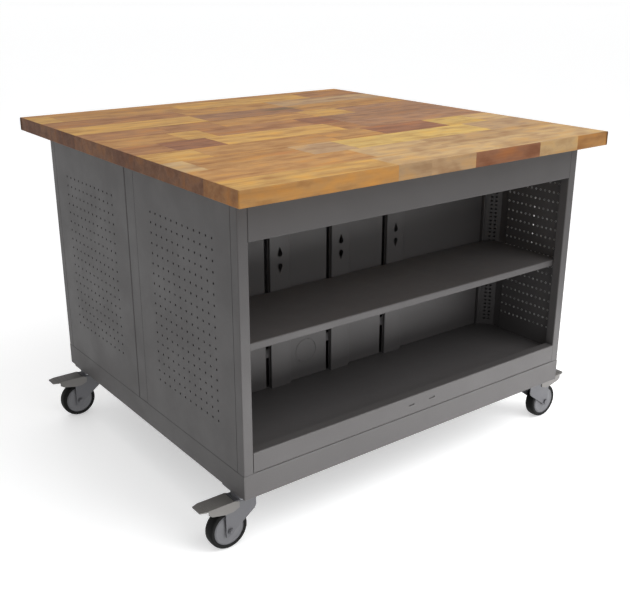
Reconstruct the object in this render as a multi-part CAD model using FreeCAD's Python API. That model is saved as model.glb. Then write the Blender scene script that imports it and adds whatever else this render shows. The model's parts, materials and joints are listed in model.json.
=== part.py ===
import FreeCAD, Part
import math
import os

# Wheeled bench: two back-to-back open-shelf steel cabinets on one plinth, a two-slab wood top
# and four swivel casters with foot brakes.  Millimetres.  While a piece is drawn, x runs from
# the body's left face, y from its front face and z from the floor.

V = FreeCAD.Vector

# ---------------------------------------------------------------- driving dimensions
SEAT = 0.3                  # clearance left between faces that meet
BORE_CLEAR = 0.05           # radial clearance of a pin in its bore
PASS = 5.0                  # how far a cutting tool runs past the metal

BODY_W = 1146.0             # cabinet body, left to right
BODY_D = 1027.0             # cabinet body, front to rear
CASTER_H = 151.0            # floor to the underside of the plinth
PLINTH_H = 67.0
CABINET_H = 668.0
CABINET_D = 488.5           # one cabinet, front to its own rear flange

TOP_T = 38.0
TOP_SIDE = 36.5             # overhang of the wood top past the body sides
TOP_FRONT = 69.0
TOP_REAR = 137.0
TOP_REAR_SLAB = 412.0       # depth of the rear slab; the front one takes the rest
TOP_CORNER_R = 3.0
TOP_EASE_R = 1.5

SKIN_T = 2.0                # cabinet sheet
LIGHT_T = 1.5               # channels and uprights
PLINTH_T = 2.5
BEND_R = 1.0                # inside radius of every fold

POST_W = 28.0               # face of the corner post, folded from the side panel
POST_RETURN = 27.0
POST_LINE_Y = 28.0          # pressed line where the side starts behind the post
POST_LINE_W = 1.6
POST_LINE_DEEP = 0.8
REAR_FLANGE = 20.0
TOP_FLANGE = 20.0
TOP_FLANGE_Y0 = 48.0

HOLE_PITCH = 26.9           # side perforation
HOLE_R = 3.0
FIELD_COLUMNS = 12
FIELD_ROWS = 18
FIELD_Y0 = 107.0            # first column, from the front face
FIELD_Z0 = 171.0            # first row, above the underside of the plinth

OPENING_Z0 = 121.0          # heights above the underside of the plinth
OPENING_Z1 = 637.0
FLOOR_Z = 100.0
SHELF_Z = 386.0
SHELF_FRONT = 30.0
SHELF_LIP = 19.5
SHELF_HEM = 12.0

HEADER_FLANGE = 45.0
HEADER_LIP = 26.0
RAIL_LIP = 26.0
RAIL_FLANGE = 30.0
RAIL_SLOT_W = 20.0
RAIL_SLOT_H = 5.0
RAIL_SLOT_Z = 96.0
RAIL_SLOT_SPREAD = 38.0     # each slot from the middle of the rail

BACK_Y = 308.0              # front face of the back panel
BACK_INSET = 46.0           # back panel edge from the body side
BACK_TOP_FLANGE = 30.0
BACK_FOOT_FLANGE = 20.0
CHANNEL_X = (320.0, 528.0, 732.0)
CHANNEL_W = 66.0
CHANNEL_PROUD = 8.0         # channel face in front of the back panel
CHANNEL_TOP_GAP = 16.0
WIRE_SLOT_W = 11.0          # open slot beside each channel
WIRE_SLOT_GAP = 2.0
WIRE_SLOT_FOOT = 3.0
WIRE_SLOT_TOP = 36.0
KEYHOLE_Z = (446.0, 490.0)  # lower and upper keyhole, above the underside of the plinth
KEYHOLE_R = 8.0
KEYHOLE_TIP = 15.0          # from the keyhole centre to its point
KEYHOLE_EYE = 5.0           # from the keyhole centre to the round eye
KEY_WINDOW_HALF = 16.0      # opening in the back panel behind the keyholes
KEY_WINDOW_REACH = 22.0     # past the keyhole centres, up and down
KNOCKOUT_X = 410.0
KNOCKOUT_Z = 182.0
KNOCKOUT_R = 35.0
KNOCKOUT_SLIT = 1.0
KNOCKOUT_TAB = 6.0

UPRIGHT_WALL_Y0 = 238.0     # slotted corner upright
UPRIGHT_WALL_Y1 = 262.0
UPRIGHT_FACE_X = 33.0
UPRIGHT_EDGE_X = 41.0
UPRIGHT_RETURN = 16.0
UPRIGHT_SLOT_W = 7.0
UPRIGHT_SLOT_H = 5.0
UPRIGHT_SLOT_PITCH = 12.7
UPRIGHT_SLOT_ROWS = 44
UPRIGHT_SLOT_Z0 = 18.0      # first slot above the floor pan
UPRIGHT_SLOT_SPREAD = 7.0   # each column from the middle of the face

LINER_X = 8.0               # inner face of the side liner, from the body side
LINER_Y0 = 29.0
LINER_Y1 = 236.0
LINER_HOLE_R = 2.5
LINER_COLUMNS = 12
LINER_ROWS = 18
LINER_PITCH_Y = 16.5
LINER_PITCH_Z = 28.0
LINER_FIELD_Y = 47.0        # first column, from the front face
LINER_FIELD_Z = 161.0       # first row, above the underside of the plinth
SHELF_SIDE_GAP = 1.0        # shelf end to the liner

CLIP_W = 15.0
CLIP_T = 2.0
CLIP_BELOW = 6.0            # leg below the pin
CLIP_REACH = 16.0
CLIP_COLUMN = 1             # liner column that holds the front clip's pin
CLIP_PIN_REACH = 1.0
CLIP_REAR_W = 12.0

STRIP_INSET = 1.0           # centre strip face behind the side panels
STRIP_FLANGE = 19.0

PLINTH_TOP_FLANGE = 40.0
PLINTH_FOOT_FLANGE = 66.0
PLINTH_CROSS_FLANGE = 50.0

SCREW_R = 2.5
SCREW_UP = 26.0             # length standing in the wood
SCREW_HEAD_R = 6.0
SCREW_HEAD_H = 4.0
SCREW_HEADER_Y = 32.0
SCREW_HEADER_X = (150.0, 573.0, 996.0)
SCREW_SIDE_X = 12.0
SCREW_SIDE_Y = (130.0, 400.0)

CASTER_X = 32.0             # swivel axis from the body side
CASTER_Y = 64.0             # swivel axis from the body front or rear
TRAIL = 48.0                # wheel axle behind the swivel axis
WHEEL_R = 53.5
TYRE_IN_R = 42.0
TYRE_W = 31.0
TYRE_ROUND = 4.0
HUB_W = 29.0
HUB_BOSS_R = 12.0
HUB_GROOVE_R = 38.0
HUB_GROOVE_W = 2.0
HUB_GROOVE = 1.2
AXLE_R = 5.0
AXLE_HEAD_R = 8.0
AXLE_HEAD_H = 5.0
AXLE_TAIL = 2.0

PLATE_L = 92.0              # caster plate, along the body depth
PLATE_W = 60.0
PLATE_T = 4.0
PLATE_CORNER_R = 6.0
PLATE_BOLT_X = 22.0         # bolt from the swivel axis, both ways
PLATE_BOLT_Y = 36.0
BOLT_R = 4.0
BOLT_HEAD_R = 6.5
BOLT_HEAD_H = 3.6
NUT_H = 5.5
RACE_R = 28.0
RACE_H = 5.5
PIN_R = 6.0
PIN_HEAD_R = 11.0
PIN_HEAD_H = 6.0

CROWN_R = 30.0
CROWN_T = 4.0
CROWN_RING_R = 27.0
CROWN_RING_IN_R = 12.0
CROWN_RING_H = 9.9
LEG_T = 3.0
LEG_GAP = 18.5              # inner face of a leg from the wheel's middle plane
LEG_BACK_X = -28.0          # leading edge of the legs, from the swivel axis
BRIDGE_X = 32.0             # rear edge of the crown's bridge between the legs
LEG_EDGE_X = 60.0           # trailing edge of the legs
LEG_SHOULDER_Z = 114.0      # top of the trailing edge, from the floor
LEG_WAIST_Z = 101.0         # foot of the leading edge
LEG_NOSE_X = 4.5            # the nose's rounding, back and down from there
LEG_NOSE_Z = 8.5
LEG_TOE_X = 53.0
LEG_TOE_Z = 37.0
LEG_EYE_R = 13.0

PEDAL_T = 3.0
PEDAL_TIP_X = 130.0         # from the swivel axis
PEDAL_ROOT_X = 36.0
PEDAL_SHOULDER_X = 113.0    # where the tip's chamfers start
PEDAL_TIP_HALF = 18.0
PEDAL_TOP_Z = 133.0         # from the floor
PEDAL_SKIRT_X = (22.0, 22.0, 40.0, 62.0, 98.0, 108.0, 108.0, 36.0)
PEDAL_SKIRT_Z = (128.0, 112.0, 105.0, 105.0, 113.0, 120.0, 133.0, 133.0)
PEDAL_EAR_T = 2.5
PEDAL_PIVOT_X = 30.0
PEDAL_PIVOT_Z = 120.0
PEDAL_PIN_R = 3.0
PEDAL_GRIP_RIBS = 4
PEDAL_GRIP_PITCH = 11.0
PEDAL_GRIP_R = 1.2
SHOE_X = 60.0
SHOE_T = 4.0
SHOE_HALF = 12.0
SHOE_FOOT_Z = 109.6

# ---------------------------------------------------------------- derived levels
CABINET_Z = CASTER_H + PLINTH_H
CABINET_TOP = CABINET_Z + CABINET_H - SEAT
TOP_Z = CABINET_Z + CABINET_H
FLOOR_TOP = CASTER_H + FLOOR_Z
SHELF_TOP = CASTER_H + SHELF_Z
STAND_Z = FLOOR_TOP + SEAT
CHANNEL_Y = BACK_Y - CHANNEL_PROUD
UPRIGHT_TOP = CABINET_TOP - CHANNEL_TOP_GAP
TOP_SEAM_Y = BODY_D + TOP_REAR - TOP_REAR_SLAB
SHIFT = V(-BODY_W / 2, -(BODY_D + TOP_REAR - TOP_FRONT) / 2, 0)


# ---------------------------------------------------------------- drawing helpers
def box(x0, x1, y0, y1, z0, z1):
    return Part.makeBox(x1 - x0, y1 - y0, z1 - z0, V(x0, y0, z0))


def rod(x, y, z, radius, length, direction):
    return Part.makeCylinder(radius, length, V(x, y, z), direction)


def merge(pieces):
    whole = pieces[0].fuse(pieces[1:])
    return whole.removeSplitter()


def cut(piece, tools):
    return piece.cut(Part.makeCompound(tools))


def unit(a, b):
    length = math.hypot(b[0] - a[0], b[1] - a[1])
    return ((b[0] - a[0]) / length, (b[1] - a[1]) / length)


def in_space(point, plane, level):
    if plane == "xy":
        return V(point[0], point[1], level)
    if plane == "yz":
        return V(level, point[0], point[1])
    return V(point[0], level, point[1])


def along(plane, length):
    return {"xy": V(0, 0, length), "yz": V(length, 0, 0), "xz": V(0, length, 0)}[plane]


def prism(points, plane, lo, hi):
    """A solid of one flat outline carried from lo to hi."""
    ring = [in_space(p, plane, lo) for p in points]
    ring.append(ring[0])
    return Part.Face(Part.makePolygon(ring)).extrude(along(plane, hi - lo))


def moved_left(path, distance):
    """The same open path, moved to its own left."""
    result = []
    for i, point in enumerate(path):
        a = unit(path[i - 1], point) if i else unit(point, path[i + 1])
        b = unit(point, path[i + 1]) if i < len(path) - 1 else a
        reach = distance / (1 + a[0] * b[0] + a[1] * b[1])
        result.append((point[0] - (a[1] + b[1]) * reach, point[1] + (a[0] + b[0]) * reach))
    return result


def rounded(path, left_radius, right_radius, plane, level):
    """Edges along an open path, its corners rounded by the radius for their turn."""
    edges = []
    start = path[0]
    for i in range(1, len(path) - 1):
        corner = path[i]
        a = unit(path[i - 1], corner)
        b = unit(corner, path[i + 1])
        radius = left_radius if a[0] * b[1] - a[1] * b[0] > 0 else right_radius
        half = math.acos(a[0] * b[0] + a[1] * b[1]) / 2
        step = radius * math.tan(half)
        enter = (corner[0] - a[0] * step, corner[1] - a[1] * step)
        leave = (corner[0] + b[0] * step, corner[1] + b[1] * step)
        toward = unit((a[0], a[1]), (b[0], b[1]))
        lift = radius / math.cos(half) - radius
        middle = (corner[0] + toward[0] * lift, corner[1] + toward[1] * lift)
        edges.append(Part.makeLine(in_space(start, plane, level), in_space(enter, plane, level)))
        arc = Part.Arc(*[in_space(p, plane, level) for p in (enter, middle, leave)])
        edges.append(arc.toShape())
        start = leave
    edges.append(Part.makeLine(in_space(start, plane, level), in_space(path[-1], plane, level)))
    return edges


def folded(path, thickness, plane, lo, hi):
    """A folded sheet: the path is its outer face and the metal lies on the path's left."""
    inner = moved_left(path, thickness)
    wide = BEND_R + thickness
    edges = rounded(path, wide, BEND_R, plane, lo)
    edges += rounded(inner, BEND_R, wide, plane, lo)
    edges.append(Part.makeLine(in_space(path[0], plane, lo), in_space(inner[0], plane, lo)))
    edges.append(Part.makeLine(in_space(path[-1], plane, lo), in_space(inner[-1], plane, lo)))
    wire = Part.Wire(Part.__sortEdges__(edges))
    return Part.Face(wire).extrude(along(plane, hi - lo))


def hexagon(x, y, z0, z1, radius):
    corners = []
    for i in range(6):
        angle = math.radians(60 * i)
        corners.append((x + radius * math.cos(angle), y + radius * math.sin(angle)))
    return prism(corners, "xy", z0, z1)


def other_hand(piece):
    return piece.mirror(V(BODY_W / 2, 0, 0), V(1, 0, 0))


def turned(piece):
    """The piece carried half a turn round the middle of the body, for the rear cabinet."""
    copy = piece.copy()
    copy.rotate(V(BODY_W / 2, BODY_D / 2, 0), V(0, 0, 1), 180)
    return copy


def save(name, piece):
    solid = piece.copy()
    solid.translate(SHIFT)
    solid.exportStep("parts/" + name + ".step")


# ---------------------------------------------------------------- wood top
def screw_places():
    front = [(x, SCREW_HEADER_Y) for x in SCREW_HEADER_X]
    front += [(SCREW_SIDE_X, y) for y in SCREW_SIDE_Y]
    front += [(BODY_W - SCREW_SIDE_X, y) for y in SCREW_SIDE_Y]
    rear = [(BODY_W - x, BODY_D - y) for x, y in front]
    return front, rear


def top_slab(y0, y1, outer_y):
    slab = box(-TOP_SIDE, BODY_W + TOP_SIDE, y0, y1, TOP_Z, TOP_Z + TOP_T)
    corners = []
    for edge in slab.Edges:
        a, b = edge.Vertexes[0].Point, edge.Vertexes[-1].Point
        upright = abs(a.x - b.x) < SEAT and abs(a.y - b.y) < SEAT
        if upright and abs(a.y - outer_y) < SEAT:
            corners.append(edge)
    slab = slab.makeFillet(TOP_CORNER_R, corners)
    rims = []
    for edge in slab.Edges:
        middle = edge.CenterOfMass
        level = abs(middle.z - TOP_Z) < SEAT or abs(middle.z - TOP_Z - TOP_T) < SEAT
        at_seam = abs(middle.y - (y0 + y1 - outer_y)) < SEAT
        if level and not at_seam:
            rims.append(edge)
    slab = slab.makeFillet(TOP_EASE_R, rims)
    pilots = []
    for x, y in sum(screw_places(), []):
        if y0 < y < y1:
            pilots.append(rod(x, y, TOP_Z - PASS, SCREW_R + BORE_CLEAR, PASS + SCREW_UP + SEAT, V(0, 0, 1)))
    return cut(slab, pilots)


def top_screws():
    solids = []
    under = CABINET_TOP - SKIN_T - SEAT
    for x, y in sum(screw_places(), []):
        shank = rod(x, y, under, SCREW_R, TOP_Z + SCREW_UP - under, V(0, 0, 1))
        head = hexagon(x, y, under - SCREW_HEAD_H, under, SCREW_HEAD_R)
        solids.append(merge([shank, head]))
    return Part.makeCompound(solids)


def screw_hole(x, y):
    return rod(x, y, CABINET_TOP - SKIN_T - PASS, SCREW_R + BORE_CLEAR, SKIN_T + 2 * PASS, V(0, 0, 1))


# ---------------------------------------------------------------- plinth
def plinth_side():
    top = CABINET_Z - SEAT
    path = [(PLINTH_TOP_FLANGE, top), (0, top), (0, CASTER_H), (PLINTH_FOOT_FLANGE, CASTER_H)]
    rail = folded(path, PLINTH_T, "xz", 0, BODY_D)
    inner = PLINTH_T + SEAT
    ends = []
    for y0, y1 in ((-PASS, inner), (BODY_D - inner, BODY_D + PASS)):
        ends.append(box(inner, PLINTH_FOOT_FLANGE + PASS, y0, y1, CASTER_H - PASS, top + PASS))
    for y in (CASTER_Y, BODY_D - CASTER_Y):
        for dx, dy in bolt_offsets():
            ends.append(rod(CASTER_X + dx, y + dy, CASTER_H - PASS, BOLT_R + BORE_CLEAR, 2 * PASS, V(0, 0, 1)))
    return cut(rail, ends)


def plinth_cross():
    top = CABINET_Z - SEAT
    inner = PLINTH_T + SEAT
    reach = PLINTH_CROSS_FLANGE
    path = [(reach, top), (0, top), (0, CASTER_H), (reach, CASTER_H)]
    rail = folded(path, PLINTH_T, "yz", inner, BODY_W - inner)
    step = PLINTH_FOOT_FLANGE + SEAT
    ends = []
    for x0, x1 in ((0, step), (BODY_W - step, BODY_W)):
        ends.append(box(x0, x1, inner, reach + PASS, CASTER_H - PASS, top + PASS))
    return cut(rail, ends)


# ---------------------------------------------------------------- cabinet, drawn as the front one
def side_panel():
    path = [(REAR_FLANGE, CABINET_D), (0, CABINET_D), (0, 0), (POST_W, 0), (POST_W, POST_RETURN)]
    skin = folded(path, SKIN_T, "xy", CABINET_Z, CABINET_TOP)
    y1 = CABINET_D - SKIN_T - SEAT
    lip = box(SKIN_T / 2, TOP_FLANGE, TOP_FLANGE_Y0, y1, CABINET_TOP - SKIN_T, CABINET_TOP)
    foot = box(SKIN_T / 2, TOP_FLANGE, TOP_FLANGE_Y0, y1, CABINET_Z, CABINET_Z + SKIN_T)
    panel = merge([skin, lip, foot])
    holes = [screw_hole(SCREW_SIDE_X, y) for y in SCREW_SIDE_Y]
    for column in range(FIELD_COLUMNS):
        for row in range(FIELD_ROWS):
            y = FIELD_Y0 + column * HOLE_PITCH
            z = CASTER_H + FIELD_Z0 + row * HOLE_PITCH
            holes.append(rod(-PASS, y, z, HOLE_R, 2 * PASS, V(1, 0, 0)))
    y0 = POST_LINE_Y - POST_LINE_W / 2
    holes.append(box(-PASS, POST_LINE_DEEP, y0, y0 + POST_LINE_W, CABINET_Z - PASS, CABINET_TOP + PASS))
    return cut(panel, holes)


def header_rail():
    bottom = CASTER_H + OPENING_Z1
    path = [(HEADER_FLANGE, CABINET_TOP), (0, CABINET_TOP), (0, bottom), (HEADER_LIP, bottom)]
    rail = folded(path, SKIN_T, "yz", POST_W + SEAT, BODY_W - POST_W - SEAT)
    return cut(rail, [screw_hole(x, SCREW_HEADER_Y) for x in SCREW_HEADER_X])


def bottom_rail():
    top = CASTER_H + OPENING_Z0
    path = [(RAIL_LIP, top), (0, top), (0, CABINET_Z), (RAIL_FLANGE, CABINET_Z)]
    rail = folded(path, SKIN_T, "yz", POST_W + SEAT, BODY_W - POST_W - SEAT)
    slots = []
    z = CASTER_H + RAIL_SLOT_Z
    for side in (-1, 1):
        x = BODY_W / 2 + side * RAIL_SLOT_SPREAD
        half = RAIL_SLOT_W / 2
        slots.append(box(x - half, x + half, -PASS, PASS, z - RAIL_SLOT_H / 2, z + RAIL_SLOT_H / 2))
    return cut(rail, slots)


def floor_pan():
    foot = CABINET_Z + SKIN_T + SEAT
    front = SKIN_T + SEAT
    rear = CABINET_D - SKIN_T - SEAT
    path = [(rear, foot), (rear, FLOOR_TOP), (front, FLOOR_TOP), (front, foot)]
    pan = folded(path, SKIN_T, "yz", SKIN_T + SEAT, BODY_W - SKIN_T - SEAT)
    notch = POST_W + SEAT
    deep = POST_RETURN + SEAT
    tools = []
    for x0, x1 in ((-PASS, notch), (BODY_W - notch, BODY_W + PASS)):
        tools.append(box(x0, x1, -PASS, deep, CABINET_Z, FLOOR_TOP + PASS))
    return cut(pan, tools)


def back_panel():
    path = [(BACK_Y + BACK_TOP_FLANGE, CABINET_TOP), (BACK_Y, CABINET_TOP)]
    path += [(BACK_Y, STAND_Z), (BACK_Y + BACK_FOOT_FLANGE, STAND_Z)]
    panel = folded(path, SKIN_T, "yz", BACK_INSET, BODY_W - BACK_INSET)
    y0 = BACK_Y - PASS
    y1 = BACK_Y + PASS
    tools = []
    for x in CHANNEL_X:
        edge = x - CHANNEL_W / 2 - WIRE_SLOT_GAP
        z0 = STAND_Z + WIRE_SLOT_FOOT
        tools.append(box(edge - WIRE_SLOT_W, edge, y0, y1, z0, CABINET_TOP - WIRE_SLOT_TOP))
        low = CASTER_H + KEYHOLE_Z[0] - KEY_WINDOW_REACH
        high = CASTER_H + KEYHOLE_Z[1] + KEY_WINDOW_REACH
        tools.append(box(x - KEY_WINDOW_HALF, x + KEY_WINDOW_HALF, y0, y1, low, high))
    z = CASTER_H + KNOCKOUT_Z
    ring = rod(KNOCKOUT_X, y0, z, KNOCKOUT_R, 2 * PASS, V(0, 1, 0))
    ring = ring.cut(rod(KNOCKOUT_X, y0, z, KNOCKOUT_R - KNOCKOUT_SLIT, 2 * PASS, V(0, 1, 0)))
    half = KNOCKOUT_TAB / 2
    reach = KNOCKOUT_R + PASS
    tabs = [box(KNOCKOUT_X - half, KNOCKOUT_X + half, y0, y1, z - reach, z + reach)]
    tools.append(cut(ring, tabs))
    return cut(panel, tools)


def keyhole(x, z, way):
    """A teardrop opening whose point is up for way 1 and down for way -1."""
    y0 = CHANNEL_Y - PASS
    y1 = CHANNEL_Y + PASS
    eye_z = z - way * KEYHOLE_EYE
    eye = rod(x, y0, eye_z, KEYHOLE_R, y1 - y0, V(0, 1, 0))
    reach = KEYHOLE_TIP + KEYHOLE_EYE
    touch = KEYHOLE_R * KEYHOLE_R / reach
    half = KEYHOLE_R * math.sqrt(1 - (KEYHOLE_R / reach) ** 2)
    points = [(x - half, eye_z + way * touch), (x + half, eye_z + way * touch), (x, z + way * KEYHOLE_TIP)]
    return merge([eye, prism(points, "xz", y0, y1)])


def hanger_channel(x):
    half = CHANNEL_W / 2
    rear = BACK_Y - SEAT
    path = [(x - half, rear), (x - half, CHANNEL_Y), (x + half, CHANNEL_Y), (x + half, rear)]
    channel = folded(path, LIGHT_T, "xy", STAND_Z, UPRIGHT_TOP)
    tools = []
    for z, way in zip(KEYHOLE_Z, (-1, 1)):
        tools.append(keyhole(x, CASTER_H + z, way))
    return cut(channel, tools)


def upright_face():
    """Start point, direction and length of the slotted face, seen from above."""
    a = (SKIN_T + SEAT + LIGHT_T, UPRIGHT_WALL_Y1)
    b = (UPRIGHT_FACE_X, CHANNEL_Y)
    return a, unit(a, b), math.hypot(b[0] - a[0], b[1] - a[1])


def shelf_upright():
    start, way, length = upright_face()
    path = [(start[0], UPRIGHT_WALL_Y0), start, (UPRIGHT_FACE_X, CHANNEL_Y)]
    path += [(UPRIGHT_EDGE_X, CHANNEL_Y), (UPRIGHT_EDGE_X, CHANNEL_Y + UPRIGHT_RETURN)]
    upright = folded(path, LIGHT_T, "xy", STAND_Z, UPRIGHT_TOP)
    tools = []
    for row in range(UPRIGHT_SLOT_ROWS):
        z = STAND_Z + UPRIGHT_SLOT_Z0 + row * UPRIGHT_SLOT_PITCH
        for side in (-1, 1):
            middle = length / 2 + side * UPRIGHT_SLOT_SPREAD
            half = UPRIGHT_SLOT_W / 2
            tools.append(turned_bar(middle - half, middle + half, -PASS, PASS, z, z + UPRIGHT_SLOT_H))
    return cut(upright, tools)


def turned_bar(u0, u1, v0, v1, z0, z1):
    """A bar set square to the slotted face: u runs along it, v out of its back."""
    start, way, length = upright_face()
    bar = Part.makeBox(u1 - u0, v1 - v0, z1 - z0, V(u0, v0, z0))
    bar.rotate(V(0, 0, 0), V(0, 0, 1), math.degrees(math.atan2(way[1], way[0])))
    bar.translate(V(start[0], start[1], 0))
    return bar


def liner_hole(column, row):
    """Middle of one hole of the side liner: depth and height."""
    return LINER_FIELD_Y + column * LINER_PITCH_Y, CASTER_H + LINER_FIELD_Z + row * LINER_PITCH_Z


def side_liner():
    wall = SKIN_T + SEAT
    path = [(wall, LINER_Y0), (LINER_X, LINER_Y0), (LINER_X, LINER_Y1), (wall, LINER_Y1)]
    liner = folded(path, LIGHT_T, "xy", STAND_Z, UPRIGHT_TOP)
    holes = []
    for column in range(LINER_COLUMNS):
        for row in range(LINER_ROWS):
            y, z = liner_hole(column, row)
            holes.append(rod(wall, y, z, LINER_HOLE_R, LINER_X, V(1, 0, 0)))
    return cut(liner, holes)


def middle_shelf():
    rear = CHANNEL_Y - CLIP_T
    foot = SHELF_TOP - SHELF_LIP
    path = [(rear, foot), (rear, SHELF_TOP), (SHELF_FRONT, SHELF_TOP), (SHELF_FRONT, foot)]
    path.append((SHELF_FRONT + SHELF_HEM, foot))
    end = LINER_X + SHELF_SIDE_GAP
    shelf = folded(path, SKIN_T, "yz", end, BODY_W - end)
    start, way, length = upright_face()
    clear = CLIP_T + 2 * SEAT
    corner = turned_bar(-PASS * PASS, length + PASS * PASS, -clear, PASS * PASS, foot - PASS, SHELF_TOP + PASS)
    return cut(shelf, [corner, other_hand(corner)])


def shelf_clips():
    top = SHELF_TOP - SKIN_T - SEAT
    wall = LINER_X + SEAT
    row = math.floor((top - CLIP_T - LINER_HOLE_R - CASTER_H - LINER_FIELD_Z) / LINER_PITCH_Z)
    pin_y, pin_z = liner_hole(CLIP_COLUMN, row)
    y0 = pin_y - CLIP_W / 2
    y1 = pin_y + CLIP_W / 2
    leg = box(wall, wall + CLIP_T, y0, y1, pin_z - CLIP_BELOW, top)
    tab = box(wall, wall + CLIP_REACH, y0, y1, top - CLIP_T, top)
    pin_x = LINER_X - LIGHT_T - CLIP_PIN_REACH
    pin = rod(pin_x, pin_y, pin_z, LINER_HOLE_R - BORE_CLEAR, wall + CLIP_T / 2 - pin_x, V(1, 0, 0))
    front = merge([leg, tab, pin])
    start, way, length = upright_face()
    u0 = (length - CLIP_REAR_W) / 2
    u1 = u0 + CLIP_REAR_W
    rows = math.floor((top - CLIP_T - STAND_Z - UPRIGHT_SLOT_Z0) / UPRIGHT_SLOT_PITCH)
    slot_z = STAND_Z + UPRIGHT_SLOT_Z0 + (rows - 1) * UPRIGHT_SLOT_PITCH
    back = merge([
        turned_bar(u0, u1, -SEAT - CLIP_T, -SEAT, slot_z, top),
        turned_bar(u0, u1, -SEAT - CLIP_REACH, -SEAT, top - CLIP_T, top),
        prong(length / 2 - UPRIGHT_SLOT_SPREAD, slot_z),
        prong(length / 2 + UPRIGHT_SLOT_SPREAD, slot_z),
    ])
    return Part.makeCompound([front, back, other_hand(front), other_hand(back)])


def prong(u, slot_z):
    half = UPRIGHT_SLOT_W / 2 - SEAT
    reach = LIGHT_T + CLIP_T
    return turned_bar(u - half, u + half, -SEAT - CLIP_T, reach, slot_z + SEAT, slot_z + UPRIGHT_SLOT_H - SEAT)


def centre_strip():
    y0 = CABINET_D + SEAT
    y1 = BODY_D - CABINET_D - SEAT
    x1 = STRIP_INSET + STRIP_FLANGE
    path = [(x1, y1), (STRIP_INSET, y1), (STRIP_INSET, y0), (x1, y0)]
    return folded(path, SKIN_T, "xy", CABINET_Z, CABINET_TOP)


# ---------------------------------------------------------------- caster, drawn trailing along +x
def bolt_offsets():
    return [(sx * PLATE_BOLT_X, sy * PLATE_BOLT_Y) for sx in (-1, 1) for sy in (-1, 1)]


def caster_plate():
    top = CASTER_H - SEAT
    foot = CASTER_H - PLATE_T
    plate = box(-PLATE_W / 2, PLATE_W / 2, -PLATE_L / 2, PLATE_L / 2, foot, top)
    corners = [e for e in plate.Edges if abs(e.CenterOfMass.z - (foot + top) / 2) < SEAT]
    plate = plate.makeFillet(PLATE_CORNER_R, corners)
    race = rod(0, 0, foot - RACE_H, RACE_R, RACE_H, V(0, 0, 1))
    race = race.makeFillet(RACE_H / 3, [race.Edges[2]])
    head_top = crown_bottom() - SEAT
    pin = rod(0, 0, head_top - SEAT, PIN_R, foot - head_top, V(0, 0, 1))
    head = hexagon(0, 0, head_top - PIN_HEAD_H, head_top, PIN_HEAD_R)
    holes = []
    for dx, dy in bolt_offsets():
        holes.append(rod(dx, dy, foot - PASS, BOLT_R + BORE_CLEAR, 2 * PASS, V(0, 0, 1)))
    return cut(merge([plate, race, pin, head]), holes)


def crown_bottom():
    return CASTER_H - PLATE_T - RACE_H - SEAT - CROWN_RING_H - CROWN_T


def caster_fork():
    z0 = crown_bottom()
    z1 = z0 + CROWN_T
    outer = LEG_GAP + LEG_T
    disc = rod(0, 0, z0, CROWN_R, CROWN_T, V(0, 0, 1))
    bridge = box(LEG_BACK_X, BRIDGE_X, -outer, outer, z0, z1)
    ring = rod(0, 0, z1, CROWN_RING_R, CROWN_RING_H, V(0, 0, 1))
    ring = ring.makeChamfer(CROWN_RING_H / 3, [ring.Edges[0]])
    ring = ring.cut(rod(0, 0, z1, CROWN_RING_IN_R, CROWN_RING_H, V(0, 0, 1)))
    outline = [(LEG_BACK_X, z1), (BRIDGE_X, z1), (LEG_EDGE_X, LEG_SHOULDER_Z)]
    outline += [(LEG_EDGE_X, LEG_TOE_Z), (LEG_TOE_X, LEG_TOE_Z)]
    outline.append((LEG_BACK_X + LEG_NOSE_X, LEG_WAIST_Z - LEG_NOSE_Z))
    outline.append((LEG_BACK_X, LEG_WAIST_Z))
    legs = []
    for y in (-outer, LEG_GAP):
        leg = prism(outline, "xz", y, y + LEG_T)
        legs.append(leg.fuse(rod(TRAIL, y, WHEEL_R, LEG_EYE_R, LEG_T, V(0, 1, 0))))
    fork = merge([disc, bridge, ring] + legs)
    wide = 2 * (outer + PASS)
    bores = [
        rod(0, 0, z0 - PASS, PIN_R + BORE_CLEAR, CROWN_T + CROWN_RING_H + 2 * PASS, V(0, 0, 1)),
        rod(TRAIL, -outer - PASS, WHEEL_R, AXLE_R + BORE_CLEAR, wide, V(0, 1, 0)),
        rod(PEDAL_PIVOT_X, -outer - PASS, PEDAL_PIVOT_Z, PEDAL_PIN_R + BORE_CLEAR, wide, V(0, 1, 0)),
    ]
    return cut(fork, bores)


def caster_axle():
    outer = LEG_GAP + LEG_T + SEAT
    shank = rod(TRAIL, -outer, WHEEL_R, AXLE_R, 2 * outer + AXLE_HEAD_H + AXLE_TAIL, V(0, 1, 0))
    bolt = merge([shank, side_hexagon(-outer - AXLE_HEAD_H, -outer)])
    nut = side_hexagon(outer, outer + AXLE_HEAD_H)
    nut = nut.cut(rod(TRAIL, outer - PASS, WHEEL_R, AXLE_R + BORE_CLEAR, AXLE_HEAD_H + 2 * PASS, V(0, 1, 0)))
    return Part.makeCompound([bolt, nut])


def side_hexagon(y0, y1):
    corners = []
    for i in range(6):
        angle = math.radians(60 * i)
        corners.append((TRAIL + AXLE_HEAD_R * math.cos(angle), WHEEL_R + AXLE_HEAD_R * math.sin(angle)))
    return prism(corners, "xz", y0, y1)


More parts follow.
